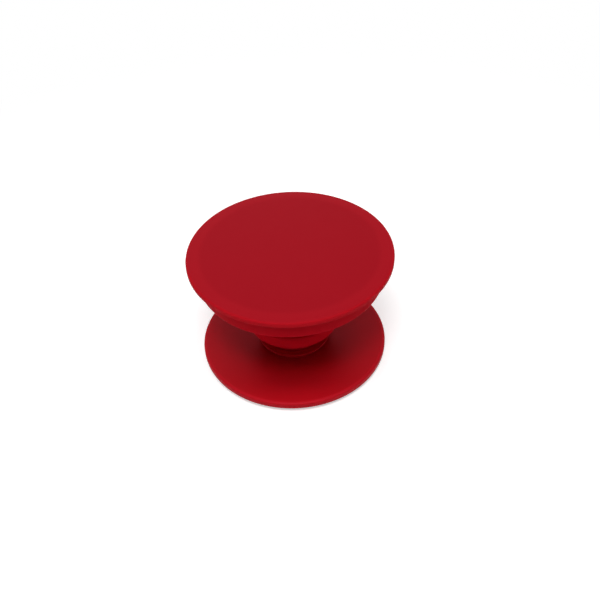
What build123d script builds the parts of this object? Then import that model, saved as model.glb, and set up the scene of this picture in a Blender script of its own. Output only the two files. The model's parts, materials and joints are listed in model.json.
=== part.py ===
from build123d import *
import os
from collections import namedtuple
from math import hypot, radians, tan

# Collapsible phone grip, pulled out to its full height. Millimetres, +Z up.
# The origin is the centre of the adhesive face that sticks to the phone.
# A break is the distance from a sharp corner to each side of the bevel that softens it.

# Overall sizes
extended_height = 25.0
cap_diameter = 40.0
base_diameter = 38.3

# Cap: a plain disc with a soft shoulder, and a notched snap ring below it
cap_thickness = 1.2
cap_shoulder_width = 2.6
cap_shoulder_drop = 0.12
cap_edge_break = 0.3
cap_overhang = 1.8
snap_ring_wall = 1.0
snap_barb_reach = 0.4
snap_barb_height = 0.7
snap_notch_count = 6
snap_notch_width = 2.2

# Adhesive pad
pad_thickness = 0.8
pad_inset = 1.25

# Base plate: a disc with a raised, lipped collar round the foot of the bellows
base_thickness = 1.4
base_edge_break = 0.32
collar_diameter = 14.9
collar_width = 1.4
collar_height = 1.2
collar_lip_reach = 0.6
collar_lip_height = 0.45
latch_recess_depth = 0.6
latch_recess_margin = 0.5

# Bellows: thick stepped walls with soft lips, joined by thin webs that fold
middle_ring_diameter = 24.4
lower_ring_diameter = 18.8
skirt_height = 4.3
middle_wall_height = 2.45
lower_wall_height = 3.45
wall_thickness = 1.1
web_thickness = 0.55
wall_draft = 4.0
lip_break = 0.32
lower_lip_break = 0.65
ledge_width = 0.5
ledge_break = 0.28
mouth_bead_reach = 0.8
mouth_bead_height = 1.0
neck_height = 1.55
foot_flange_thickness = 1.0

# Lock plug: a mushroom head and a slotted shank with a barb
plug_shank_diameter = 7.8
plug_head_thickness = 1.1
plug_head_break = 0.35
plug_barb_reach = 0.5
plug_barb_height = 0.35
plug_slot_width = 1.2
plug_slot_top_margin = 0.4

# Clearances
snap_clearance = 0.05
foot_clearance = 0.15
shank_clearance = 0.1
head_clearance = 0.15

# Heights, from the adhesive face upwards
base_under = pad_thickness
base_top = base_under + base_thickness
collar_top = base_top + collar_height
cap_top = extended_height
cap_under = cap_top - cap_thickness
mouth_top = cap_under - snap_clearance
mouth_bead_under = mouth_top - mouth_bead_height
flange_top = base_top + foot_flange_thickness
neck_top = base_top + neck_height
skirt_lip = cap_under - skirt_height
web_drop = (skirt_lip - neck_top - middle_wall_height - lower_wall_height) / 3
middle_top = skirt_lip - web_drop
middle_lip = middle_top - middle_wall_height
lower_top = middle_lip - web_drop
lower_lip = lower_top - lower_wall_height

# Radii
cap_radius = cap_diameter / 2
base_radius = base_diameter / 2
collar_radius = collar_diameter / 2
collar_bore = collar_radius - collar_width
neck_radius = collar_bore - foot_clearance
shank_radius = plug_shank_diameter / 2
shank_bore = shank_radius + shank_clearance
head_radius = neck_radius - wall_thickness - head_clearance
draft_slope = tan(radians(wall_draft))

# One stepped wall of the bellows, by its lower lip, its top and the ledge on that top
Ring = namedtuple("Ring", "lip_radius lip_z top_z slope lip_break ledge")
skirt = Ring(cap_radius - cap_overhang, skirt_lip, mouth_top, draft_slope, lip_break, 0.0)
middle = Ring(middle_ring_diameter / 2, middle_lip, middle_top, draft_slope, lip_break, ledge_width)
lower = Ring(lower_ring_diameter / 2, lower_lip, lower_top, draft_slope, lower_lip_break, ledge_width)
neck = Ring(neck_radius, base_top, neck_top, 0.0, 0.0, 0.0)


def outside(ring, z):
    """Point on the outer side of a wall at height z; walls widen upwards."""
    return (ring.lip_radius + ring.slope * (z - ring.lip_z), z)


def inside(ring, z):
    """Point on the inner side of a wall at height z."""
    return (outside(ring, z)[0] - wall_thickness, z)


def web(upper, below):
    """Corners of the thin web from the foot of one wall to the top of the next.

    Returns its outer side, from the lip above down to the shoulder below, then its inner side,
    from the wall below upwards. The web stands on the top of that wall, behind its ledge.
    """
    start = inside(upper, upper.lip_z)
    shoulder = outside(below, below.top_z)
    end = (shoulder[0] - below.ledge, below.top_z)
    inward = start[0] - end[0]
    fall = start[1] - end[1]
    outer_side = [(*outside(upper, upper.lip_z), upper.lip_break), start, end]
    if below.ledge > 0:
        outer_side.append((*shoulder, ledge_break))

    landing = (end[0] - web_thickness * hypot(inward, fall) / fall, below.top_z)
    wall_corner = inside(below, below.top_z)
    inner_side = [wall_corner, landing]
    if landing[0] < wall_corner[0]:
        foot_rise = (wall_corner[0] - landing[0]) / (inward / fall - below.slope)
        inner_side = [inside(below, below.top_z + foot_rise)]
    climb = (start[0] - landing[0]) * fall / inward
    root_rise = (climb - fall) / (1 - upper.slope * fall / inward)
    inner_side.append(inside(upper, upper.lip_z + root_rise))
    return outer_side, inner_side


def bevelled(before, corner, after):
    """Points that stand for a corner of a section: the corner itself, or the two ends of its bevel."""
    point = Vector(corner[0], corner[1])
    if len(corner) < 3:
        return [point]
    edge_break = corner[2]
    start = point + (Vector(before[0], before[1]) - point).normalized() * edge_break
    end = point + (Vector(after[0], after[1]) - point).normalized() * edge_break
    return [start, end]


def turned(corners):
    """Solid of revolution about the grip's axis from the (radius, height) corners of its section.

    A third number at a corner is its edge break.
    """
    points = []
    for index, corner in enumerate(corners):
        points += bevelled(corners[index - 1], corner, corners[(index + 1) % len(corners)])
    section = Plane.XZ * make_face(Polyline(points, close=True))
    return revolve(section, axis=Axis.Z)


def top_cap():
    """Disc with a soft shoulder and edge, and a notched snap ring with a barb."""
    disc = turned([
        (0, cap_under),
        (cap_radius, cap_under),
        (cap_radius, cap_top - cap_shoulder_drop, cap_edge_break),
        (cap_radius - cap_shoulder_width, cap_top),
        (0, cap_top),
    ])

    ring_radius = inside(skirt, mouth_top)[0] - mouth_bead_reach - snap_clearance
    ring_bore = ring_radius - snap_ring_wall
    barb_top = mouth_bead_under - snap_clearance
    barb_tip = barb_top - snap_barb_height
    ring = turned([
        (ring_bore, cap_under),
        (ring_bore, barb_tip),
        (ring_radius, barb_tip),
        (ring_radius + snap_barb_reach, barb_top),
        (ring_radius, barb_top),
        (ring_radius, cap_under),
    ])
    ring_height = cap_under - barb_tip
    notch = Box(2 * snap_ring_wall + 2 * snap_barb_reach, snap_notch_width, ring_height)
    notch = Pos(0, 0, cap_under - ring_height / 2) * notch
    notches = PolarLocations(ring_radius - snap_ring_wall / 2, snap_notch_count) * notch
    return disc + (ring - notches)


def bellows():
    """One soft moulding: mouth bead, three stepped walls, their webs and the foot."""
    webs = [web(skirt, middle), web(middle, lower), web(lower, neck)]
    bead_bore = inside(skirt, mouth_top)[0] - mouth_bead_reach
    corners = [outside(skirt, mouth_top)]
    for outer_side, _ in webs:
        corners += outer_side
    corners += [
        outside(neck, base_top),
        (shank_bore, base_top),
        (shank_bore, flange_top),
        inside(neck, flange_top),
    ]
    for _, inner_side in reversed(webs):
        corners += inner_side
    corners += [
        inside(skirt, mouth_bead_under),
        (bead_bore, mouth_bead_under),
        (bead_bore, mouth_top),
    ]
    return turned(corners)


def base_plate():
    """Disc with a soft upper edge, lipped collar, plug hole and latch recess below."""
    recess_radius = shank_radius + plug_barb_reach + latch_recess_margin
    recess_top = base_under + latch_recess_depth
    collar_waist = collar_radius - collar_lip_reach
    lip_under = collar_top - collar_lip_height
    return turned([
        (recess_radius, base_under),
        (base_radius, base_under),
        (base_radius, base_top, base_edge_break),
        (collar_waist, base_top),
        (collar_waist, lip_under),
        (collar_radius, lip_under),
        (collar_radius, collar_top),
        (collar_bore, collar_top),
        (collar_bore, base_top),
        (shank_bore, base_top),
        (shank_bore, recess_top),
        (recess_radius, recess_top),
    ])


def lock_plug():
    """Mushroom plug: its head traps the foot, its slotted legs latch below the plate."""
    head_top = flange_top + plug_head_thickness
    latch_z = base_under + latch_recess_depth - snap_clearance
    barb_radius = shank_radius + plug_barb_reach
    barb_foot = latch_z - plug_barb_height
    plug = turned([
        (0, barb_foot),
        (shank_radius, barb_foot),
        (barb_radius, latch_z),
        (shank_radius, latch_z),
        (shank_radius, flange_top),
        (head_radius, flange_top),
        (head_radius, head_top, plug_head_break),
        (0, head_top),
    ])
    slot_height = flange_top - plug_slot_top_margin - barb_foot
    slot = Pos(0, 0, barb_foot + slot_height / 2) * Box(2 * barb_radius, plug_slot_width, slot_height)
    return plug - slot - Rot(0, 0, 90) * slot


def adhesive_pad():
    """Round foam pad under the base plate."""
    return extrude(Circle(base_radius - pad_inset), pad_thickness)


NODES = {
    "top_cap": top_cap,
    "bellows": bellows,
    "base_plate": base_plate,
    "lock_plug": lock_plug,
    "adhesive_pad": adhesive_pad,
}

os.makedirs("parts", exist_ok=True)
for node, make in NODES.items():
    export_step(make(), f"parts/{node}.step")
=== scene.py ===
"""Collapsible phone grip: finished pieces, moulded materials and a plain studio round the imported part."""

import json
import math
from collections import namedtuple

import bmesh
import bpy
from bpy.props import FloatProperty, FloatVectorProperty, IntProperty, PointerProperty
from mathutils import Matrix, Vector
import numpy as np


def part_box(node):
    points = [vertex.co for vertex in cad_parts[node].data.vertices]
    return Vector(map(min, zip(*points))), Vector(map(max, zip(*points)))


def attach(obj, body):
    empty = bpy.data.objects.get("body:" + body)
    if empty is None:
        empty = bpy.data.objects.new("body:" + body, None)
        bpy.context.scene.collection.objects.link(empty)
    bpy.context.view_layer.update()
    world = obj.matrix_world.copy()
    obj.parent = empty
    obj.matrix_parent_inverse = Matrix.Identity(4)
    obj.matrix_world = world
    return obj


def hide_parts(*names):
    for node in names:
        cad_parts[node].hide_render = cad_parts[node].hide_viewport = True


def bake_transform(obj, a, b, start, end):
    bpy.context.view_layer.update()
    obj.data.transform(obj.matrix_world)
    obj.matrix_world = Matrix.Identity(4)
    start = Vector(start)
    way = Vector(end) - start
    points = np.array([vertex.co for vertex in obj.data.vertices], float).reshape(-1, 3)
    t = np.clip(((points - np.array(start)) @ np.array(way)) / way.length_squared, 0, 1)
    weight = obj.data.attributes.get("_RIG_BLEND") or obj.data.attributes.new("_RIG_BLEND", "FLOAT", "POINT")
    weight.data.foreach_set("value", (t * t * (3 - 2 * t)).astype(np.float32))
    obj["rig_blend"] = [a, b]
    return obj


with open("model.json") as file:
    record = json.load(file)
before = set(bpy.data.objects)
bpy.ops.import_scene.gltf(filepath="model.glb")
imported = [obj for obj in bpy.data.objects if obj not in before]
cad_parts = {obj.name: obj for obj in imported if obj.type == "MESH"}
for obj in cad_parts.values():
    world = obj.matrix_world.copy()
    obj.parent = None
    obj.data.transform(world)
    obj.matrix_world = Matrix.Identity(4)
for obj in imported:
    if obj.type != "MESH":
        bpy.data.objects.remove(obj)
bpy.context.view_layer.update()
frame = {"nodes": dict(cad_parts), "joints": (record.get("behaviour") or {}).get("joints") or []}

bl_info = {
    "name": "Collapsible phone grip",
    "version": (1, 0, 0),
    "blender": (4, 5, 0),
    "location": "3D View > Sidebar > Phone grip",
    "description": "Builds the pieces of a collapsible phone grip and a plain studio to show them in",
    "category": "Mesh",
}

MM = 0.001
LATHE = "Lathe"

# Values that the points of a turned piece carry
TRAVEL_SHARE = "travel_share"
# Painted light and shade that the bellows' points carry: lighter along each lip, darker up the skirt under
# the cap's seam
LIP_LIGHT_AND_SHADE = "lip_wear"
BLEND_WEIGHT = "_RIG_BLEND"

# Mesh: points nearer than the gap are one point, and edges bent more than the angle stay sharp
MERGE_GAP = 0.001 * MM
SHARP_ANGLE = math.radians(30)
LONGEST_EDGE = 0.5 * MM
ARC_STEPS = 8
LATHE_STEPS = 192
SHOULDER_STEPS = 8
SNAP_ARC_POINTS = 25

# How strongly the three webs bow as they fold, from the skirt down
WEB_BOWS = (1.4, 1.4, 2.0)

# Noise patterns of the finishes, in features per metre
Pattern = namedtuple("Pattern", "per_metre detail roughness")
FLOW = Pattern(0.12 / MM, 3.0, 0.6)
SHEEN = Pattern(0.6 / MM, 4.0, 0.5)
PRESSED = Pattern(0.3 / MM, 3.0, 0.5)

# Moulded plastics: the surface of each, and what all share
Surface = namedtuple("Surface", "roughness gloss grain_size grain_height")
CAP_SURFACE = Surface(roughness=0.5, gloss=0.022, grain_size=0.16 * MM, grain_height=0.012 * MM)
BELLOWS_SURFACE = Surface(roughness=0.55, gloss=0.012, grain_size=0.2 * MM, grain_height=0.01 * MM)
BASE_SURFACE = Surface(roughness=0.47, gloss=0.075, grain_size=0.16 * MM, grain_height=0.012 * MM)
PLUG_SURFACE = Surface(roughness=0.5, gloss=0.05, grain_size=0.16 * MM, grain_height=0.012 * MM)
FLOW_LEVELS = (0.97, 1.03)
SHEEN_SPREAD = 0.04
GRAIN_DETAIL = 2.0
GRAIN_ROUGHNESS = 0.5
GRAIN_STRENGTH = 0.5

# Foam tape: its cells, the spread of its tone and roughness, and its gloss
CELLS_PER_METRE = 2.4 / MM
CELL_SHARE = 0.6
CELL_DEPTH = 0.06 * MM
CELL_STRENGTH = 0.6
FOAM_LEVELS = (0.6, 1.5)
FOAM_ROUGHNESS = (0.5, 0.85)
FOAM_GLOSS = 0.3

# Studio: lamps by the angles at which they stand, in degrees, and by their size, in metres
Lamp = namedtuple("Lamp", "name power azimuth elevation width depth")
LAMPS = (
    Lamp("key", "key_power", -98, 64, 0.12, 0.08),
    Lamp("top", "top_power", -92, 78, 0.45, 0.10),
    Lamp("left_fill", "left_power", -165, 12, 0.20, 0.10),
    Lamp("right_fill", "right_power", -15, 12, 0.20, 0.10),
    Lamp("back_fill", "back_power", 95, 30, 0.30, 0.20),
)
WHITE = (1, 1, 1, 1)
PAPER = (0.8, 0.8, 0.8, 1)
PAPER_ROUGHNESS = 0.9
SENSOR_MM = 36
NEAR_CLIP = 5 * MM

# The cap's travel and the boxes of the pieces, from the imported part
TRAVEL = max(frame["joints"][0]["range_m"])
_, CAP_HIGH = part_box("top_cap")
BELLOWS_LOW, BELLOWS_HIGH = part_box("bellows")
BASE_LOW, BASE_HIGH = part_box("base_plate")
PAD_LOW, PAD_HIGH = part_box("adhesive_pad")


def length(name, description, millimetres):
    """A length property with its default in millimetres."""
    return FloatProperty(
        name=name, description=description, default=millimetres * MM, unit="LENGTH", precision=5
    )


def angle(name, description, degrees):
    """An angle property with its default in degrees."""
    return FloatProperty(name=name, description=description, default=math.radians(degrees), subtype="ANGLE")


def strength(name, description, value, unit="NONE"):
    """A strength or power property, never below nothing."""
    return FloatProperty(name=name, description=description, default=value, unit=unit, min=0)


def colour(name, description, rgb):
    """A colour property, linear red, green and blue."""
    return FloatVectorProperty(
        name=name, description=description, default=rgb, subtype="COLOR", size=3, min=0, max=1
    )


class PhoneGripSizes(bpy.types.PropertyGroup):
    """Sizes of the grip's pieces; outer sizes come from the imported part."""

    cap_thickness: length("Cap thickness", "Height of the cap's disc", 1.2)
    cap_shoulder_width: length("Cap shoulder width", "Width of the soft slope round the cap's face", 2.6)
    cap_shoulder_drop: length("Cap shoulder drop", "Fall of the soft slope at the cap's edge", 0.12)
    cap_edge_round: length("Cap edge round", "Radius of the cap's upper edge", 0.45)
    cap_under_round: length("Cap under round", "Radius of the cap's lower edge", 0.15)
    cap_overhang: length("Cap overhang", "How far the cap stands out past the skirt's lip", 1.8)
    snap_ring_wall: length("Snap ring wall", "Thickness of the snap ring under the cap", 1.0)
    snap_barb_reach: length("Snap barb reach", "How far the snap ring's barb stands out", 0.4)
    snap_barb_height: length("Snap barb height", "Height of the snap ring's barb", 0.7)
    snap_notch_width: length("Snap notch width", "Gap between two segments of the snap ring", 2.2)
    snap_segments: IntProperty(
        name="Snap segments", description="Segments of the snap ring", default=6, min=2
    )
    base_edge_round: length("Base edge round", "Radius of the base plate's upper edge", 0.5)
    base_under_round: length("Base under round", "Radius of the base plate's lower edge", 0.25)
    base_thickness: length("Base thickness", "Height of the base plate's disc", 1.4)
    collar_radius: length("Collar radius", "Outer radius of the base plate's collar", 7.45)
    collar_wall: length("Collar wall", "Width of the collar's top", 1.4)
    collar_lip_reach: length("Collar lip reach", "How far the collar's lip stands out past its wall", 0.6)
    collar_lip_height: length("Collar lip height", "Height of the collar's lip", 0.45)
    collar_round: length("Collar round", "Radius of the collar's edges", 0.15)
    shank_bore: length("Shank bore", "Radius of the hole for the lock plug", 4.0)
    latch_radius: length("Latch radius", "Radius of the recess for the plug's barb", 4.9)
    latch_depth: length("Latch depth", "Depth of the recess for the plug's barb", 0.6)
    middle_ring_radius: length("Middle ring radius", "Radius of the middle ring's lip", 12.2)
    lower_ring_radius: length("Lower ring radius", "Radius of the lower ring's lip", 9.4)
    neck_radius: length("Neck radius", "Radius of the neck inside the collar", 5.9)
    skirt_height: length("Skirt height", "Height from the skirt's lip to the cap", 4.3)
    middle_wall_height: length("Middle wall height", "Height of the middle ring's wall", 2.45)
    lower_wall_height: length("Lower wall height", "Height of the lower ring's wall", 3.45)
    ledge_width: length("Ledge width", "Ledge on top of a ring, outside the web that lands there", 0.5)
    ledge_round: length("Ledge round", "Radius of the outer edge of that ledge", 0.45)
    neck_height: length("Neck height", "Height of the neck above the base plate", 1.55)
    wall_thickness: length("Wall thickness", "Thickness of the bellows' stepped walls", 1.1)
    web_thickness: length("Web thickness", "Thickness of the webs that fold", 0.55)
    wall_draft: angle("Wall draft", "Slope of the stepped walls", 4.0)
    lip_round: length("Lip round", "Rounding of the skirt's and the middle ring's lip", 0.5)
    lower_lip_round: length("Lower lip round", "Rounding of the lower ring's lip", 1.0)
    mouth_bead_reach: length("Mouth bead reach", "How far the bellows' mouth bead stands in", 0.8)
    mouth_bead_height: length("Mouth bead height", "Height of the bellows' mouth bead", 1.0)
    foot_flange: length("Foot flange", "Thickness of the flange at the foot of the bellows", 1.0)
    fold_clearance: length("Fold clearance", "Room left above the base plate by the folded rings", 0.15)
    pad_edge_round: length("Pad edge round", "Radius of the adhesive pad's cut edges", 0.08)


class PhoneGripFinish(bpy.types.PropertyGroup):
    """Colours, painted highlights and painted shade of the grip's materials."""

    # The cap's rim is painted lighter than its face, for the light that falls on the rim
    face_red: colour("Face red", "Fine matt finish on the cap's face", (0.374, 0.0059, 0.0131))
    rim_light_red: colour("Rim red", "Plain finish round the cap's face", (0.408, 0.0073, 0.0150))
    shell_red: colour("Shell red", "Hard plastic of the base plate and plug", (0.450, 0.0038, 0.0092))
    # Painted highlight on the rounded edges of the cap and the base plate, and on the cap's wall
    edge_highlight_red: colour("Edge red", "Burnish on the cap's and base plate's edge", (0.515, 0.0065, 0.0140))
    bellows_red: colour("Bellows red", "Soft moulded plastic of the bellows", (0.515, 0.0038, 0.0118))
    pad_grey: colour("Pad grey", "Foam of the adhesive pad", (0.105, 0.105, 0.110))
    gloss_tint: colour("Gloss tint", "Cool cast of the light that the plastic mirrors", (0.62, 0.66, 1.0))
    # Where the cap's painted lighter rim and painted edge highlight start and end
    face_margin: length("Face margin", "From the end of the face's finish to the cap's rounded edge", 2.8)
    rim_start: length("Rim start", "From the start of the rim's finish to the cap's rounded edge", 1.5)
    rim_end: length("Rim end", "From the end of the rim's finish to the cap's rounded edge", 0.1)
    # Width over which the base plate's edge turns to the painted highlight
    highlight_margin: length("Burnish margin", "Width of the change to the base plate's burnished edge", 0.3)
    # Painted light and shade on the bellows: a painted highlight along each lip and painted shade up the
    # skirt under the cap's seam, faded over a height above the lip
    lip_highlight: strength("Lip shine", "How much lighter the bellows is rubbed along its lips", 0.09)
    seam_shade: strength("Seam dull", "How much duller the skirt stays up towards its seam", 0.15)
    light_fade_height: length("Wear height", "Height above a lip at which a wall is dull again", 2.9)


class PhoneGripStudio(bpy.types.PropertyGroup):
    """Camera, light and floor of the studio."""

    lens: FloatProperty(
        name="Lens", description="Focal length on a 36 mm sensor", default=43.68, unit="CAMERA"
    )
    elevation: angle("Elevation", "Camera's angle above the floor", 42.642)
    roll: angle("Roll", "Camera's turn about its view", -2.527)
    distance: length("Distance", "Camera's distance from the cap, along the view", 139.65)
    side_step: length("Side step", "Camera's step to the right of the cap's centre", 1.934)
    rise_step: length("Rise step", "Camera's step up from the cap's centre, across the view", -9.151)
    sky: strength("Sky", "Strength of the even light from all round", 0.09)
    key_power: strength("Key power", "Power of the high front lamp", 0.60, "POWER")
    top_power: strength("Top power", "Power of the wide lamp overhead", 1.35, "POWER")
    left_power: strength("Left power", "Power of the low lamp on the left", 0.25, "POWER")
    right_power: strength("Right power", "Power of the low lamp on the right", 0.20, "POWER")
    back_power: strength("Back power", "Power of the low back lamp", 0.41, "POWER")
    lamp_distance: length("Lamp distance", "How far the lamps stand from the grip", 500.0)
    floor_half: length("Floor half", "Half of the floor's side", 1500.0)
    floor_glow: strength("Floor glow", "How much the camera sees the floor lifted", 0.5)
    fade_start: length("Fade start", "Distance from the grip at which the floor starts to fade", 50.0)
    fade_end: length("Fade end", "Distance from the grip at which the floor is plain white", 150.0)


def sizes():
    """Sizes set in the scene."""
    return bpy.context.scene.phone_grip_sizes


def finish_colours():
    """Colours, painted highlights and painted shade set in the scene."""
    return bpy.context.scene.phone_grip_finish


def studio():
    """Camera, light and floor set in the scene."""
    return bpy.context.scene.phone_grip_studio


# Outlines, as (radius, height) points turned about the grip's axis


def rounded(before, corner, after, bend):
    """Points of the arc that rounds a corner."""
    back = (before - corner).normalized()
    ahead = (after - corner).normalized()
    half_angle = back.angle(ahead) / 2
    centre = corner + (back + ahead).normalized() * bend / math.sin(half_angle)
    arm = corner + back * bend / math.tan(half_angle) - centre
    turn = math.pi - 2 * half_angle
    if back.x * ahead.y - back.y * ahead.x > 0:
        turn = -turn
    return [centre + Matrix.Rotation(turn * step / ARC_STEPS, 2) @ arm for step in range(ARC_STEPS + 1)]


def outline(corners, closed):
    """Points through (radius, height, round) corners: each round an arc, each long run divided."""
    places = [Vector(corner[:2]) for corner in corners]
    points = []
    for index, (place, (_, _, bend)) in enumerate(zip(places, corners)):
        if bend == 0:
            points.append(place)
        else:
            points += rounded(places[index - 1], place, places[(index + 1) % len(places)], bend)
    ends = points[1:] + points[:1] if closed else points[1:]
    divided = []
    for start, end in zip(points, ends):
        parts = max(1, math.ceil((end - start).length / LONGEST_EDGE))
        divided += [start.lerp(end, part / parts) for part in range(parts)]
    return divided if closed else divided + [points[-1]]


def profile_object(name, points, closed, shares=None, painted_light=None):
    """A line of edges in the XZ plane, for the lathe to turn.

    Shares say how far each point follows the cap, and the painted light how much lighter or darker each point
    is painted: a painted highlight along a lip, painted shade under the cap's seam.
    """
    mesh = bpy.data.meshes.new(name)
    count = len(points)
    edges = [(index, index + 1) for index in range(count - 1)]
    if closed:
        edges.append((count - 1, 0))
    mesh.from_pydata([(point.x, 0, point.y) for point in points], edges, [])
    for label, values in ((TRAVEL_SHARE, shares), (LIP_LIGHT_AND_SHADE, painted_light)):
        attribute = mesh.attributes.new(label, "FLOAT", "POINT")
        attribute.data.foreach_set("value", values or [0.0] * count)
    profile = bpy.data.objects.new(name, mesh)
    bpy.context.scene.collection.objects.link(profile)
    return profile


# Geometry Nodes


def node(tree, kind, inputs=(), **settings):
    """A node of the tree, with its settings and its inputs: values, or sockets to link from."""
    made = tree.nodes.new(kind)
    for key, value in settings.items():
        setattr(made, key, value)
    for key, value in dict(inputs).items():
        if isinstance(value, bpy.types.NodeSocket):
            tree.links.new(value, made.inputs[key])
        else:
            made.inputs[key].default_value = value
    return made


def math_node(tree, operation, first, second=0.0):
    """Result of a sum on one or two values."""
    return node(tree, "ShaderNodeMath", {0: first, 1: second}, operation=operation).outputs[0]


def new_tree(name, sockets):
    """An empty geometry tree with the given inputs, and its input and output nodes."""
    tree = bpy.data.node_groups.new(name, "GeometryNodeTree")
    tree.interface.new_socket("Geometry", in_out="OUTPUT", socket_type="NodeSocketGeometry")
    tree.interface.new_socket("Geometry", in_out="INPUT", socket_type="NodeSocketGeometry")
    for label, kind in sockets:
        tree.interface.new_socket(label, in_out="INPUT", socket_type=kind)
    return tree, tree.nodes.new("NodeGroupInput"), tree.nodes.new("NodeGroupOutput")


def end_tree(tree, geometry, material, group_out):
    """Realizes what was placed, gives it its material and ends the tree."""
    real = node(tree, "GeometryNodeRealizeInstances", {"Geometry": geometry})
    painted = node(tree, "GeometryNodeSetMaterial", {"Geometry": real.outputs[0], "Material": material})
    tree.links.new(painted.outputs[0], group_out.inputs["Geometry"])


def sample(tree, geometry, row, value, data_type):
    """A value of the outline's point with that index."""
    inputs = {"Geometry": geometry, "Index": row}
    taken = node(tree, "GeometryNodeSampleIndex", inputs, data_type=data_type, domain="POINT")
    tree.links.new(value, taken.inputs["Value"])
    return taken.outputs[0]


def lathe_tree():
    """Turns an outline about the Z axis: a grid with a row for each point and a column for each step."""
    tree, group_in, group_out = new_tree(LATHE, [
        ("Steps", "NodeSocketInt"),
        ("Rows", "NodeSocketInt"),
        ("Material", "NodeSocketMaterial"),
    ])
    line = group_in.outputs["Geometry"]
    steps = group_in.outputs["Steps"]
    rows = group_in.outputs["Rows"]
    count = node(tree, "GeometryNodeAttributeDomainSize", {0: line}, component="MESH").outputs["Point Count"]
    columns = math_node(tree, "ADD", steps, 1.0)
    grid = node(tree, "GeometryNodeMeshGrid", {"Vertices X": columns, "Vertices Y": rows})

    # The half keeps the rounding down clear of whole numbers. A closed outline has one row more
    # than points, and its last row is its first point again.
    index = node(tree, "GeometryNodeInputIndex").outputs[0]
    columns_passed = math_node(tree, "DIVIDE", math_node(tree, "ADD", index, 0.5), rows)
    column = math_node(tree, "FLOOR", columns_passed)
    row_in_grid = math_node(tree, "SUBTRACT", index, math_node(tree, "MULTIPLY", column, rows))
    row = math_node(tree, "MODULO", row_in_grid, count)

    turn = math_node(tree, "MULTIPLY", math_node(tree, "DIVIDE", column, steps), math.tau)
    position = node(tree, "GeometryNodeInputPosition").outputs[0]
    place = sample(tree, line, row, position, "FLOAT_VECTOR")
    flat = node(tree, "ShaderNodeSeparateXYZ", {0: place}).outputs
    turned = node(tree, "ShaderNodeCombineXYZ", {
        "X": math_node(tree, "MULTIPLY", flat["X"], math_node(tree, "COSINE", turn)),
        "Y": math_node(tree, "MULTIPLY", flat["X"], math_node(tree, "SINE", turn)),
        "Z": flat["Z"],
    }).outputs[0]

    surface = grid.outputs["Mesh"]
    for label in (TRAVEL_SHARE, LIP_LIGHT_AND_SHADE):
        named = node(tree, "GeometryNodeInputNamedAttribute", {"Name": label}, data_type="FLOAT")
        value = sample(tree, line, row, named.outputs["Attribute"], "FLOAT")
        inputs = {"Geometry": surface, "Name": label, "Value": value}
        stored = node(tree, "GeometryNodeStoreNamedAttribute", inputs, data_type="FLOAT", domain="POINT")
        surface = stored.outputs[0]
    placed = node(tree, "GeometryNodeSetPosition", {"Geometry": surface, "Position": turned}).outputs[0]
    closed = node(tree, "GeometryNodeMergeByDistance", {"Geometry": placed, "Distance": MERGE_GAP}).outputs[0]
    end_tree(tree, closed, group_in.outputs["Material"], group_out)
    return tree


def snap_ring_tree():
    """Sweeps a closed section along an arc for one snap segment and repeats it round the axis."""
    tree, group_in, group_out = new_tree("Snap ring", [
        ("Radius", "NodeSocketFloat"),
        ("Sweep", "NodeSocketFloat"),
        ("Segments", "NodeSocketInt"),
        ("Material", "NodeSocketMaterial"),
    ])
    sweep = group_in.outputs["Sweep"]
    segments = group_in.outputs["Segments"]
    section = node(tree, "GeometryNodeMeshToCurve", {"Mesh": group_in.outputs["Geometry"]}).outputs[0]
    path = node(tree, "GeometryNodeCurveArc", {
        "Resolution": SNAP_ARC_POINTS,
        "Radius": group_in.outputs["Radius"],
        "Start Angle": math_node(tree, "MULTIPLY", sweep, -0.5),
        "Sweep Angle": sweep,
    }).outputs[0]
    upright = node(tree, "GeometryNodeSetCurveNormal", {"Curve": path}, mode="Z_UP").outputs[0]
    segment = node(tree, "GeometryNodeCurveToMesh", {
        "Curve": upright, "Profile Curve": section, "Fill Caps": True,
    }).outputs[0]

    # Every segment has its spot on the axis, and is turned half a step past its notch
    spots = node(tree, "GeometryNodeMeshLine", {"Count": segments, "Offset": (0.0, 0.0, 0.0)}).outputs["Mesh"]
    index = node(tree, "GeometryNodeInputIndex").outputs[0]
    turn = math_node(tree, "DIVIDE", math_node(tree, "ADD", index, 0.5), segments)
    spin = node(tree, "ShaderNodeCombineXYZ", {"Z": math_node(tree, "MULTIPLY", turn, math.tau)}).outputs[0]
    repeated = node(tree, "GeometryNodeInstanceOnPoints", {
        "Points": spots, "Instance": segment, "Rotation": spin,
    }).outputs[0]
    end_tree(tree, repeated, group_in.outputs["Material"], group_out)
    return tree


def run_tree(profile, tree, values, name):
    """Runs a tree on a profile and keeps the result as a plain mesh object; the profile goes."""
    modifier = profile.modifiers.new(tree.name, "NODES")
    modifier.node_group = tree
    for item in tree.interface.items_tree:
        if item.in_out == "INPUT" and item.name in values:
            modifier[item.identifier] = values[item.name]
    depsgraph = bpy.context.evaluated_depsgraph_get()
    mesh = bpy.data.meshes.new_from_object(profile.evaluated_get(depsgraph))
    mesh.name = name
    profile.modifiers.remove(modifier)
    bpy.data.objects.remove(profile)
    finished = bpy.data.objects.new(name, mesh)
    bpy.context.scene.collection.objects.link(finished)
    return finished


def clean(piece):
    """Points every face outwards and shades rounds smooth and corners sharp."""
    shape = bmesh.new()
    shape.from_mesh(piece.data)
    bmesh.ops.remove_doubles(shape, verts=shape.verts, dist=MERGE_GAP)
    bmesh.ops.recalc_face_normals(shape, faces=shape.faces)
    shape.to_mesh(piece.data)
    shape.free()
    piece.data.shade_smooth()
    piece.data.set_sharp_from_angle(angle=SHARP_ANGLE)
    return piece


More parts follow.
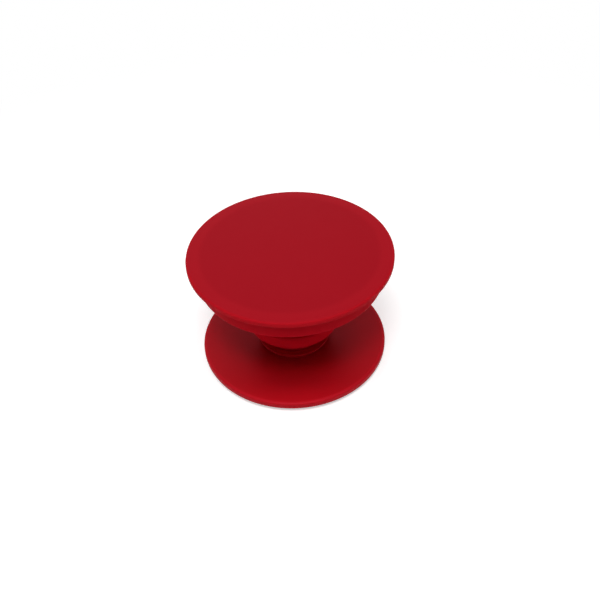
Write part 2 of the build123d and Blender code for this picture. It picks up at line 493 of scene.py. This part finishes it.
def lathe(name, points, material, closed, shares=None, painted_light=None):
    """A turned piece from the points of its outline and what they carry."""
    tree = bpy.data.node_groups.get(LATHE) or lathe_tree()
    rows = len(points) + 1 if closed else len(points)
    values = {"Steps": LATHE_STEPS, "Rows": rows, "Material": material}
    profile = profile_object(name + "_outline", points, closed, shares, painted_light)
    return clean(run_tree(profile, tree, values, name))


def join(piece, other):
    """Adds another piece's faces to a piece."""
    shape = bmesh.new()
    shape.from_mesh(piece.data)
    shape.from_mesh(other.data)
    shape.to_mesh(piece.data)
    shape.free()
    bpy.data.objects.remove(other)


# Materials


def new_material(name):
    """A material with nodes, its tree, its shader and the place on the piece."""
    material = bpy.data.materials.new(name)
    material.use_nodes = True
    tree = material.node_tree
    place = node(tree, "ShaderNodeTexCoord").outputs["Object"]
    return material, tree, tree.nodes["Principled BSDF"], place


def noise(tree, place, pattern):
    """Soft noise from nothing to one."""
    return node(tree, "ShaderNodeTexNoise", {
        "Vector": place,
        "Scale": pattern.per_metre,
        "Detail": pattern.detail,
        "Roughness": pattern.roughness,
    }).outputs[0]


def spread(tree, value, low, high):
    """A value from nothing to one, spread over a range."""
    return node(tree, "ShaderNodeMapRange", {"Value": value, "To Min": low, "To Max": high}).outputs[0]


def axis_radius(tree, place):
    """Distance from the grip's axis."""
    flat = node(tree, "ShaderNodeVectorMath", {0: place, 1: (1.0, 1.0, 0.0)}, operation="MULTIPLY")
    return node(tree, "ShaderNodeVectorMath", {0: flat.outputs[0]}, operation="LENGTH").outputs["Value"]


def plain_tone(radius, rgb):
    """One tone from the axis out to a radius."""
    return [(0, rgb), (radius, rgb)]


def tone_ramp(tree, radius, tones):
    """Colour by distance from the axis, through (radius, colour) stops."""
    reach = tones[-1][0]
    made = node(tree, "ShaderNodeValToRGB", {"Fac": math_node(tree, "DIVIDE", radius, reach)})
    ramp = made.color_ramp
    ramp.interpolation = "EASE"
    while len(ramp.elements) < len(tones):
        ramp.elements.new(1.0)
    for stop, (distance, rgb) in zip(ramp.elements, tones):
        stop.position = distance / reach
        stop.color = (*rgb, 1)
    return made.outputs["Color"]


def add_bump(tree, shader, height, amount, depth):
    """Gives a shader a fine relief."""
    inputs = {"Height": height, "Strength": amount, "Distance": depth}
    tree.links.new(node(tree, "ShaderNodeBump", inputs).outputs[0], shader.inputs["Normal"])


def moulded(name, tones, surface):
    """Moulded plastic: tones from the axis out, with the painted lighter rims and edge highlights where
    given, painted lip highlights and seam shade from its points, a faint flow, a slightly uneven sheen and a
    fine grain.
    """
    material, tree, shader, place = new_material(name)
    flow = spread(tree, noise(tree, place, FLOW), *FLOW_LEVELS)
    # Painted highlights along the bellows' lips and painted shade under the cap's seam, carried by the points
    lip_light = node(tree, "ShaderNodeAttribute", attribute_name=LIP_LIGHT_AND_SHADE).outputs["Fac"]
    tone = node(tree, "ShaderNodeHueSaturation", {
        "Color": tone_ramp(tree, axis_radius(tree, place), tones),
        "Value": math_node(tree, "MULTIPLY", flow, math_node(tree, "ADD", lip_light, 1.0)),
    })
    tree.links.new(tone.outputs["Color"], shader.inputs["Base Color"])
    patches = noise(tree, place, SHEEN)
    sheen = spread(tree, patches, surface.roughness - SHEEN_SPREAD, surface.roughness + SHEEN_SPREAD)
    tree.links.new(sheen, shader.inputs["Roughness"])
    grain = noise(tree, place, Pattern(1 / surface.grain_size, GRAIN_DETAIL, GRAIN_ROUGHNESS))
    add_bump(tree, shader, grain, GRAIN_STRENGTH, surface.grain_height)
    shader.inputs["Specular IOR Level"].default_value = surface.gloss
    shader.inputs["Specular Tint"].default_value = (*finish_colours().gloss_tint, 1)
    return material


def foam(name, rgb):
    """Closed-cell foam tape: small cells under a tacky skin that was pressed unevenly."""
    material, tree, shader, place = new_material(name)
    bubbles = node(tree, "ShaderNodeTexVoronoi", {"Vector": place, "Scale": CELLS_PER_METRE})
    cells = bubbles.outputs["Distance"]
    pressed = noise(tree, place, PRESSED)
    cell_part = math_node(tree, "MULTIPLY", cells, CELL_SHARE)
    pressed_part = math_node(tree, "MULTIPLY", pressed, 1 - CELL_SHARE)
    level = math_node(tree, "ADD", cell_part, pressed_part)
    tone = node(tree, "ShaderNodeMix", {"Factor": level}, data_type="RGBA")
    for side, factor in zip("AB", FOAM_LEVELS):
        tone.inputs[side].default_value = (*(factor * channel for channel in rgb), 1)
    tree.links.new(tone.outputs["Result"], shader.inputs["Base Color"])
    tree.links.new(spread(tree, pressed, *FOAM_ROUGHNESS), shader.inputs["Roughness"])
    add_bump(tree, shader, cells, CELL_STRENGTH, CELL_DEPTH)
    shader.inputs["Specular IOR Level"].default_value = FOAM_GLOSS
    return material


# Cap


def cap_tones(size, reds):
    """Tones of the cap: the face, a painted lighter rim round it and a painted highlight on its rounded edge
    and wall.
    """
    radius = CAP_HIGH.x
    edge = radius - size.cap_edge_round
    return [
        (0, reds.face_red),
        (edge - reds.face_margin, reds.face_red),
        (edge - reds.rim_start, reds.rim_light_red),
        (edge - reds.rim_end, reds.rim_light_red),
        (radius, reds.edge_highlight_red),
    ]


def cap_corners(size):
    """Section of the cap's disc: the face, its soft shoulder, the edge and the underside."""
    radius, top = CAP_HIGH.x, CAP_HIGH.z
    under = top - size.cap_thickness
    corners = [(0, top, 0)]
    for step in range(SHOULDER_STEPS):
        out = step / SHOULDER_STEPS
        inset = size.cap_shoulder_width * (1 - out)
        corners.append((radius - inset, top - size.cap_shoulder_drop * out * out, 0))
    corners += [
        (radius, top - size.cap_shoulder_drop, size.cap_edge_round),
        (radius, under, size.cap_under_round),
        (0, under, 0),
    ]
    return corners


def snap_ring(size, material):
    """The notched ring below the disc, with the barb that catches under the bellows' mouth bead."""
    under = CAP_HIGH.z - size.cap_thickness
    clearance = under - BELLOWS_HIGH.z
    outside = BELLOWS_HIGH.x - size.wall_thickness - size.mouth_bead_reach - clearance
    bore = outside - size.snap_ring_wall
    barb_top = BELLOWS_HIGH.z - size.mouth_bead_height - clearance
    tip = barb_top - size.snap_barb_height
    section = [
        (bore, under),
        (bore, tip),
        (outside, tip),
        (outside + size.snap_barb_reach, barb_top),
        (outside, barb_top),
        (outside, under),
    ]
    points = [Vector((radius - bore, height)) for radius, height in section]
    profile = profile_object("snap_section", points, closed=True)

    # The sweep takes its section lying flat, with its height turned to -Y
    for vertex in profile.data.vertices:
        vertex.co = (vertex.co.x, -vertex.co.z, 0)
    sweep = math.tau / size.snap_segments - size.snap_notch_width / outside
    values = {"Radius": bore, "Sweep": sweep, "Segments": size.snap_segments, "Material": material}
    return clean(run_tree(profile, snap_ring_tree(), values, "snap_ring"))


class PHONEGRIP_OT_cap(bpy.types.Operator):
    """Build the cap: a disc with a soft shoulder, and the snap ring below it"""

    bl_idname = "phone_grip.cap"
    bl_label = "Cap"

    def execute(self, context):
        size = sizes()
        material = moulded("cap_plastic", cap_tones(size, finish_colours()), CAP_SURFACE)
        points = outline(cap_corners(size), closed=False)
        cap = lathe("cap", points, material, closed=False)
        join(cap, snap_ring(size, material))
        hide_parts("top_cap")
        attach(cap, "cap")
        return {"FINISHED"}


# Bellows, whose stepped walls are rings that widen upwards


Ring = namedtuple("Ring", "lip_radius lip top slope ledge")


def bellows_rings(size):
    """The stepped walls from the skirt down to the neck."""
    slope = math.tan(size.wall_draft)
    base_top = BELLOWS_LOW.z
    neck_top = base_top + size.neck_height
    skirt_lip = CAP_HIGH.z - size.cap_thickness - size.skirt_height
    webs_height = skirt_lip - neck_top - size.middle_wall_height - size.lower_wall_height
    web_drop = webs_height / len(WEB_BOWS)
    middle_top = skirt_lip - web_drop
    middle_lip = middle_top - size.middle_wall_height
    lower_top = middle_lip - web_drop
    lower_lip = lower_top - size.lower_wall_height
    return [
        Ring(CAP_HIGH.x - size.cap_overhang, skirt_lip, BELLOWS_HIGH.z, slope, 0.0),
        Ring(size.middle_ring_radius, middle_lip, middle_top, slope, size.ledge_width),
        Ring(size.lower_ring_radius, lower_lip, lower_top, slope, size.ledge_width),
        Ring(size.neck_radius, base_top, neck_top, 0.0, 0.0),
    ]


def outer_radius(ring, height):
    """Radius of a wall's outer side at a height."""
    return ring.lip_radius + ring.slope * (height - ring.lip)


def web_sides(upper, below, size):
    """Lower side of a web, from the outside in, and its upper side, from the inside out."""
    start = Vector((upper.lip_radius - size.wall_thickness, upper.lip))
    end = Vector((outer_radius(below, below.top) - below.ledge, below.top))
    run = start - end
    landing = Vector((end.x - size.web_thickness * run.length / run.y, end.y))
    corner = Vector((end.x + below.ledge - size.wall_thickness, end.y))
    upper_side = [corner, landing]
    if landing.x < corner.x:
        foot_rise = (corner.x - landing.x) / (run.x / run.y - below.slope)
        upper_side = [corner + foot_rise * Vector((below.slope, 1))]
    climb = (start.x - landing.x) * run.y / run.x
    root_rise = (climb - run.y) / (1 - upper.slope * run.y / run.x)
    upper_side.append(start + root_rise * Vector((upper.slope, 1)))
    return [start, end], upper_side


def bellows_corners(size, rings, sides):
    """Section of the bellows: down its outer side, round the foot and up its inner side."""
    skirt = rings[0]
    mouth, foot = BELLOWS_HIGH.z, BELLOWS_LOW.z
    flange_top = foot + size.foot_flange
    mouth_radius = outer_radius(skirt, mouth)
    bead_under = mouth - size.mouth_bead_height
    bead_bore = mouth_radius - size.wall_thickness - size.mouth_bead_reach
    lips = (size.lip_round, size.lip_round, size.lower_lip_round)
    corners = [(mouth_radius, mouth, 0)]
    for ring, below, lip, ((start, end), _) in zip(rings, rings[1:], lips, sides):
        corners += [(ring.lip_radius, ring.lip, lip), (*start, 0), (*end, 0)]
        if below.ledge > 0:
            corners.append((outer_radius(below, below.top), below.top, size.ledge_round))
    corners += [
        (size.neck_radius, foot, 0),
        (size.shank_bore, foot, 0),
        (size.shank_bore, flange_top, 0),
        (size.neck_radius - size.wall_thickness, flange_top, 0),
    ]
    for _, upper_side in reversed(sides):
        corners += [(*point, 0) for point in upper_side]
    corners += [
        (outer_radius(skirt, bead_under) - size.wall_thickness, bead_under, 0),
        (bead_bore, bead_under, 0),
        (bead_bore, mouth, 0),
    ]
    return corners


def wall_shares(size, rings):
    """Share of the cap's travel that each wall follows, so that the rings nest above the base plate."""
    _, middle, lower, neck = rings
    middle_fall = middle.lip - neck.lip - 2 * size.fold_clearance
    lower_fall = lower.lip - neck.lip - size.fold_clearance
    return [1.0, middle_fall / TRAVEL, lower_fall / TRAVEL, 0.0]


def travel_share(point, webs, shares, bead_under):
    """How far a point of the bellows follows the cap: walls move whole and webs bow between them."""
    if point.y >= bead_under:
        return 1.0
    share = shares[0]
    for (start, end), above, below, bow in zip(webs, shares, shares[1:], WEB_BOWS):
        if point.x < start.x:
            on_web = point.y > end.y + MERGE_GAP
            along = max(0.0, (point.x - end.x) / (start.x - end.x)) if on_web else 0.0
            share = below + (above - below) * along**bow
    return share


def lip_wear(point, rings, reds):
    """Painted light and shade on a point of the bellows: a painted highlight along each lip, fading upwards,
    and on the skirt painted shade up under the cap's seam.
    """
    for ring in rings[:-1]:
        if point.x > ring.lip_radius - MERGE_GAP and ring.lip <= point.y <= ring.top:
            above = min(1.0, (point.y - ring.lip) / reds.light_fade_height)
            # Painted shade up the skirt under the cap's seam
            dull = reds.seam_shade if ring is rings[0] else 0.0
            return reds.lip_highlight - (reds.lip_highlight + dull) * above**2
    return 0.0


class PHONEGRIP_OT_bellows(bpy.types.Operator):
    """Build the bellows: stepped walls and folding webs that nest as the cap is pushed down"""

    bl_idname = "phone_grip.bellows"
    bl_label = "Bellows"

    def execute(self, context):
        size = sizes()
        reds = finish_colours()
        tones = plain_tone(BELLOWS_HIGH.x, reds.bellows_red)
        material = moulded("bellows_elastomer", tones, BELLOWS_SURFACE)
        mouth, foot = BELLOWS_HIGH.z, BELLOWS_LOW.z
        rings = bellows_rings(size)
        sides = [web_sides(upper, below, size) for upper, below in zip(rings, rings[1:])]
        points = outline(bellows_corners(size, rings, sides), closed=True)

        webs = [lower_side for lower_side, _ in sides]
        shares = wall_shares(size, rings)
        bead_under = mouth - size.mouth_bead_height
        follows = [travel_share(point, webs, shares, bead_under) for point in points]
        # Painted highlights along the lips and painted shade up the skirt under the cap's seam
        painted_light = [lip_wear(point, rings, reds) for point in points]
        bellows = lathe("bellows_moulding", points, material, closed=True, shares=follows, painted_light=painted_light)
        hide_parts("bellows")
        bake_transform(bellows, "base", "cap", start=(0, 0, foot), end=(0, 0, mouth))

        # The even blend from foot to mouth gives way to each wall's own share
        weights = [0.0] * len(bellows.data.vertices)
        bellows.data.attributes[TRAVEL_SHARE].data.foreach_get("value", weights)
        bellows.data.attributes[BLEND_WEIGHT].data.foreach_set("value", weights)
        return {"FINISHED"}


# Base plate, lock plug and adhesive pad


def base_corners(size):
    """Section of the base plate: the disc, the lipped collar, the plug's hole and its recess."""
    radius, under, collar_top = BASE_HIGH.x, BASE_LOW.z, BASE_HIGH.z
    top = under + size.base_thickness
    collar_bore = size.collar_radius - size.collar_wall
    collar_waist = size.collar_radius - size.collar_lip_reach
    lip_under = collar_top - size.collar_lip_height
    recess_top = under + size.latch_depth
    return [
        (size.latch_radius, under, 0),
        (radius, under, size.base_under_round),
        (radius, top, size.base_edge_round),
        (collar_waist, top, 0),
        (collar_waist, lip_under, 0),
        (size.collar_radius, lip_under, size.collar_round),
        (size.collar_radius, collar_top, size.collar_round),
        (collar_bore, collar_top, size.collar_round),
        (collar_bore, top, 0),
        (size.shank_bore, top, 0),
        (size.shank_bore, recess_top, 0),
        (size.latch_radius, recess_top, 0),
    ]


class PHONEGRIP_OT_base_plate(bpy.types.Operator):
    """Build the base plate: a disc with a raised collar, and the plug's hole and recess"""

    bl_idname = "phone_grip.base_plate"
    bl_label = "Base plate"

    def execute(self, context):
        size = sizes()
        reds = finish_colours()
        edge = BASE_HIGH.x - size.base_edge_round
        # Painted highlight on the base plate's rounded edge
        tones = [
            (0, reds.shell_red),
            (edge - reds.highlight_margin, reds.shell_red),
            (edge, reds.edge_highlight_red),
            (BASE_HIGH.x, reds.edge_highlight_red),
        ]
        material = moulded("base_plastic", tones, BASE_SURFACE)
        points = outline(base_corners(size), closed=True)
        plate = lathe("base_plate_disc", points, material, closed=True)
        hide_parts("base_plate")
        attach(plate, "base")
        return {"FINISHED"}


class PHONEGRIP_OT_lock_plug(bpy.types.Operator):
    """Finish the lock plug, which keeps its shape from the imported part"""

    bl_idname = "phone_grip.lock_plug"
    bl_label = "Lock plug"

    def execute(self, context):
        tones = plain_tone(sizes().shank_bore, finish_colours().shell_red)
        materials = frame["nodes"]["lock_plug"].data.materials
        materials.clear()
        materials.append(moulded("plug_plastic", tones, PLUG_SURFACE))
        return {"FINISHED"}


class PHONEGRIP_OT_adhesive_pad(bpy.types.Operator):
    """Build the adhesive pad: a die-cut disc of foam tape"""

    bl_idname = "phone_grip.adhesive_pad"
    bl_label = "Adhesive pad"

    def execute(self, context):
        edge_round = sizes().pad_edge_round
        radius, under, top = PAD_HIGH.x, PAD_LOW.z, PAD_HIGH.z
        corners = [(0, top, 0), (radius, top, edge_round), (radius, under, edge_round), (0, under, 0)]
        material = foam("pad_foam", finish_colours().pad_grey)
        pad = lathe("foam_pad", outline(corners, closed=False), material, closed=False)
        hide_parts("adhesive_pad")
        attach(pad, "base")
        return {"FINISHED"}


# Studio


def softbox(lamp, target, distance, power):
    """A large lamp that stands round the grip and faces it."""
    data = bpy.data.lights.new(lamp.name, "AREA")
    data.shape = "RECTANGLE"
    data.size = lamp.width
    data.size_y = lamp.depth
    data.energy = power
    rise = Matrix.Rotation(-math.radians(lamp.elevation), 3, "Y")
    turn = Matrix.Rotation(math.radians(lamp.azimuth), 3, "Z") @ rise
    box = bpy.data.objects.new(lamp.name, data)
    box.location = target + turn @ Vector((distance, 0, 0))
    box.rotation_euler = (target - box.location).to_track_quat("-Z", "Y").to_euler()
    bpy.context.scene.collection.objects.link(box)


def seen_rays(tree):
    """One for rays that show the background: from the camera, from gloss and through glass."""
    path = node(tree, "ShaderNodeLightPath").outputs
    shown = math_node(tree, "MAXIMUM", path["Is Camera Ray"], path["Is Glossy Ray"])
    return math_node(tree, "MAXIMUM", shown, path["Is Transmission Ray"])


def add_sky(level):
    """Even white light from all round, white where it is seen."""
    world = bpy.data.worlds.new("studio_sky")
    world.use_nodes = True
    tree = world.node_tree
    background = tree.nodes["Background"]
    background.inputs["Color"].default_value = WHITE
    tree.links.new(spread(tree, seen_rays(tree), level, 1.0), background.inputs["Strength"])
    bpy.context.scene.world = world


def floor_paper(view):
    """Pale paper that keeps the shadow; the camera sees it lifted towards white, and white further off."""
    material, tree, shader, place = new_material("floor_paper")
    shader.inputs["Base Color"].default_value = PAPER
    shader.inputs["Roughness"].default_value = PAPER_ROUGHNESS
    shader.inputs["Specular IOR Level"].default_value = 0.0
    shader.inputs["Emission Color"].default_value = WHITE
    seen = seen_rays(tree)
    tree.links.new(math_node(tree, "MULTIPLY", seen, view.floor_glow), shader.inputs["Emission Strength"])
    fade = {"Value": axis_radius(tree, place), "From Min": view.fade_start, "From Max": view.fade_end}
    far = node(tree, "ShaderNodeMapRange", fade, interpolation_type="SMOOTHSTEP").outputs[0]
    white = node(tree, "ShaderNodeEmission").outputs[0]
    share = math_node(tree, "MULTIPLY", far, seen)
    paper = node(tree, "ShaderNodeMixShader", {0: share, 1: shader.outputs[0], 2: white}).outputs[0]
    underside = node(tree, "ShaderNodeNewGeometry").outputs["Backfacing"]
    clear = node(tree, "ShaderNodeBsdfTransparent").outputs[0]
    sided = node(tree, "ShaderNodeMixShader", {0: underside, 1: paper, 2: clear}).outputs[0]
    tree.links.new(sided, tree.nodes["Material Output"].inputs["Surface"])
    return material


def add_floor(view):
    """A square of paper under the grip, clear from below."""
    half = view.floor_half
    corners = [(-half, -half, 0), (half, -half, 0), (half, half, 0), (-half, half, 0)]
    mesh = bpy.data.meshes.new("floor")
    mesh.from_pydata(corners, [], [(0, 1, 2, 3)])
    mesh.materials.append(floor_paper(view))
    floor = bpy.data.objects.new("floor", mesh)
    bpy.context.scene.collection.objects.link(floor)


def add_camera(view, target):
    """The camera, backed off from the target along its view, stepped across it and rolled."""
    back = Vector((0, -math.cos(view.elevation), math.sin(view.elevation)))
    level_right = Vector((1, 0, 0))
    level_up = back.cross(level_right)
    right = math.cos(view.roll) * level_right + math.sin(view.roll) * level_up
    up = math.cos(view.roll) * level_up - math.sin(view.roll) * level_right
    data = bpy.data.cameras.new("camera")
    data.sensor_width = SENSOR_MM
    data.lens = view.lens
    data.clip_start = NEAR_CLIP
    camera = bpy.data.objects.new("camera", data)
    place = target + back * view.distance + right * view.side_step + up * view.rise_step
    camera.matrix_world = Matrix.Translation(place) @ Matrix((right, up, back)).transposed().to_4x4()
    bpy.context.scene.collection.objects.link(camera)
    bpy.context.scene.camera = camera


class PHONEGRIP_OT_studio(bpy.types.Operator):
    """Set up the floor, the light and the camera at the photograph's viewing angle"""

    bl_idname = "phone_grip.studio"
    bl_label = "Studio"

    def execute(self, context):
        size = sizes()
        view = studio()
        context.scene.view_settings.view_transform = "Standard"
        add_floor(view)
        add_sky(view.sky)
        middle = Vector((0, 0, CAP_HIGH.z / 2))
        for lamp in LAMPS:
            softbox(lamp, middle, view.lamp_distance, getattr(view, lamp.power))
        rim = Vector((0, 0, CAP_HIGH.z - size.cap_shoulder_drop - size.cap_edge_round))
        add_camera(view, rim)
        return {"FINISHED"}


# Sidebar and add-on


GROUPS = (PhoneGripSizes, PhoneGripFinish, PhoneGripStudio)
OPERATORS = (
    PHONEGRIP_OT_cap,
    PHONEGRIP_OT_bellows,
    PHONEGRIP_OT_base_plate,
    PHONEGRIP_OT_lock_plug,
    PHONEGRIP_OT_adhesive_pad,
    PHONEGRIP_OT_studio,
)


class PHONEGRIP_PT_sidebar(bpy.types.Panel):
    """Steps and sizes of the phone grip"""

    bl_idname = "PHONEGRIP_PT_sidebar"
    bl_label = "Phone grip"
    bl_space_type = "VIEW_3D"
    bl_region_type = "UI"
    bl_category = "Phone grip"

    def draw(self, context):
        for operator in OPERATORS:
            self.layout.operator(operator.bl_idname)
        for group in (sizes(), finish_colours(), studio()):
            box = self.layout.box()
            for name in group.__annotations__:
                box.prop(group, name)


CLASSES = (*GROUPS, *OPERATORS, PHONEGRIP_PT_sidebar)


def register():
    for cls in CLASSES:
        bpy.utils.register_class(cls)
    bpy.types.Scene.phone_grip_sizes = PointerProperty(type=PhoneGripSizes)
    bpy.types.Scene.phone_grip_finish = PointerProperty(type=PhoneGripFinish)
    bpy.types.Scene.phone_grip_studio = PointerProperty(type=PhoneGripStudio)


def unregister():
    del bpy.types.Scene.phone_grip_studio
    del bpy.types.Scene.phone_grip_finish
    del bpy.types.Scene.phone_grip_sizes
    for cls in reversed(CLASSES):
        bpy.utils.unregister_class(cls)


def main():
    """Builds every piece and the studio."""
    register()
    bpy.ops.phone_grip.cap()
    bpy.ops.phone_grip.bellows()
    bpy.ops.phone_grip.base_plate()
    bpy.ops.phone_grip.lock_plug()
    bpy.ops.phone_grip.adhesive_pad()
    bpy.ops.phone_grip.studio()


if __name__ == "__main__":
    main()
